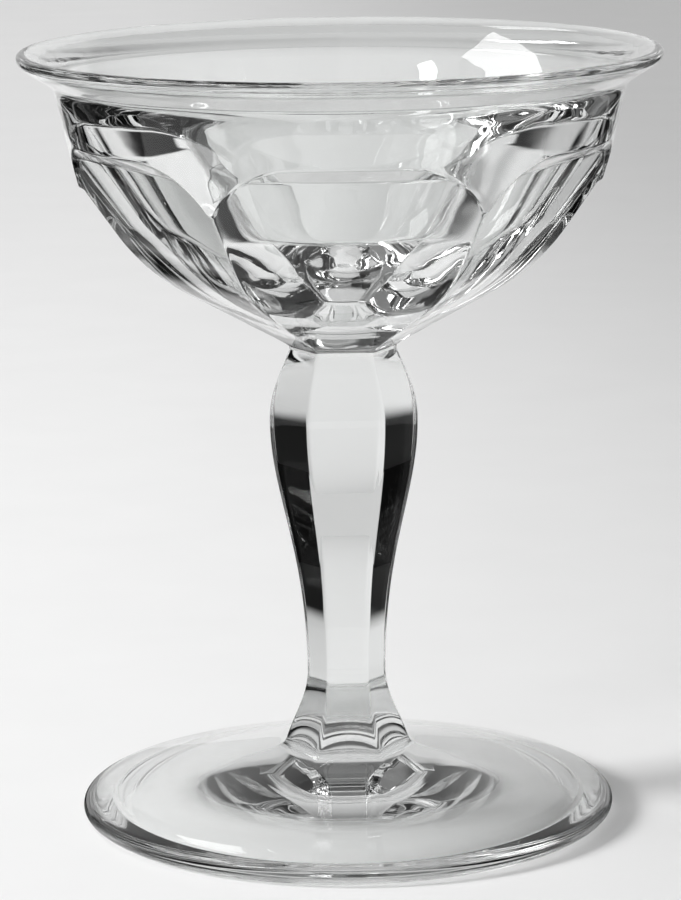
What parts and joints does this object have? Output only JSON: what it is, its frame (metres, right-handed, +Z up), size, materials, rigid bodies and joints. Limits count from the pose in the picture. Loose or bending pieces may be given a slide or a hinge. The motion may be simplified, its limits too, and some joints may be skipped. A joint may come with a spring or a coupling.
{
  "type": "sherbet glass",
  "caption": "Clear pressed glass sherbet with a flared round bowl, recessed arched panels, a faceted baluster stem and a round domed foot.",
  "frame": {"origin": "centre of the foot on the table surface it stands on", "axes": "+Z up along the glass's axis, -Y out of the middle of one bowl panel, +X along an arris"},
  "size_m": [0.0934, 0.0934, 0.1143],
  "materials": {
    "bowl_glass": "clear, fire polished",
    "stem_glass": "clear, fire polished",
    "foot_glass": "clear, fire polished, lightly worn"
  },
  "bodies": {
    "root": {"bowl": "bowl_glass", "stem": "stem_glass", "foot": "foot_glass"}
  },
  "joints": []
}
